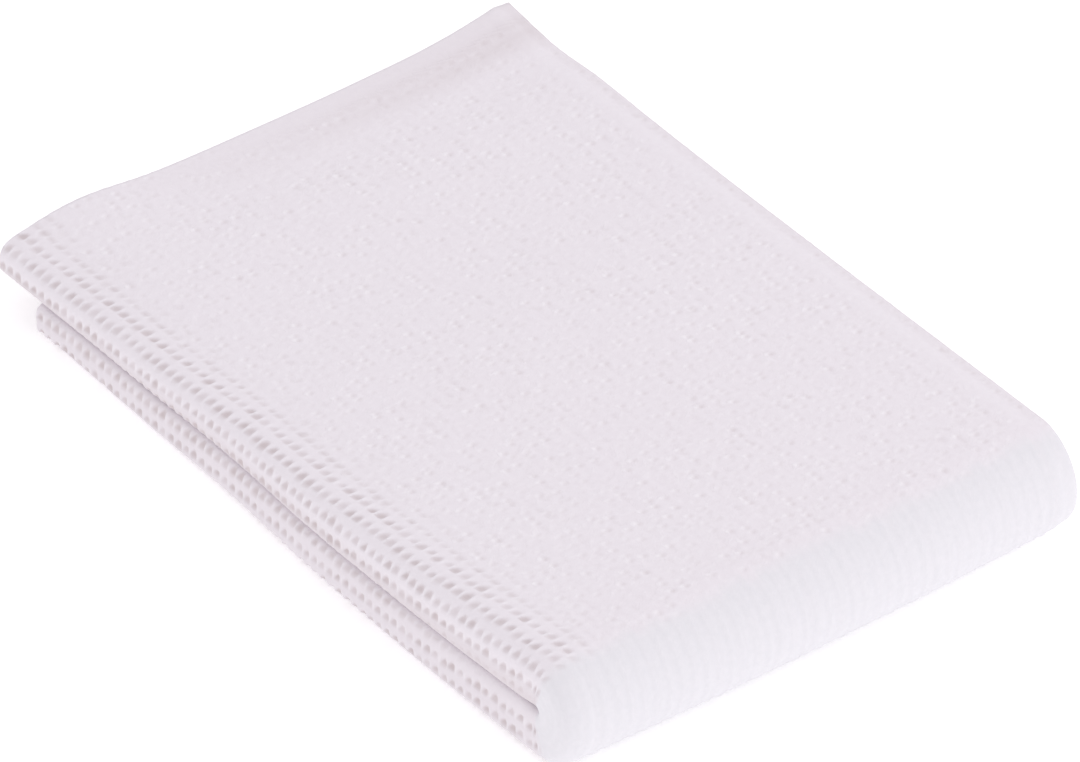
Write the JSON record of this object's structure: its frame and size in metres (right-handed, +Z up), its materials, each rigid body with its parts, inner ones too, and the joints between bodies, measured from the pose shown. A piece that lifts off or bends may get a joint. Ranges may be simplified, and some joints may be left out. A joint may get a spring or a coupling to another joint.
{
  "type": "sauna towel",
  "caption": "White cotton waffle-weave sauna towel, folded into a flat bundle with a rounded nose, rolled folds on one side and stacked hemmed edges opposite the nose.",
  "frame": {"origin": "centre of the folded towel's box, on the surface that it rests on", "axes": "+X towards the rounded nose of the last fold, +Y towards the side with the hemmed short ends, +Z up"},
  "size_m": [0.3736, 0.2498, 0.0486],
  "materials": {
    "cotton_waffle": "soft, matte, waffle-woven cotton"
  },
  "bodies": {
    "root": {"towel": "cotton_waffle"}
  },
  "joints": []
}
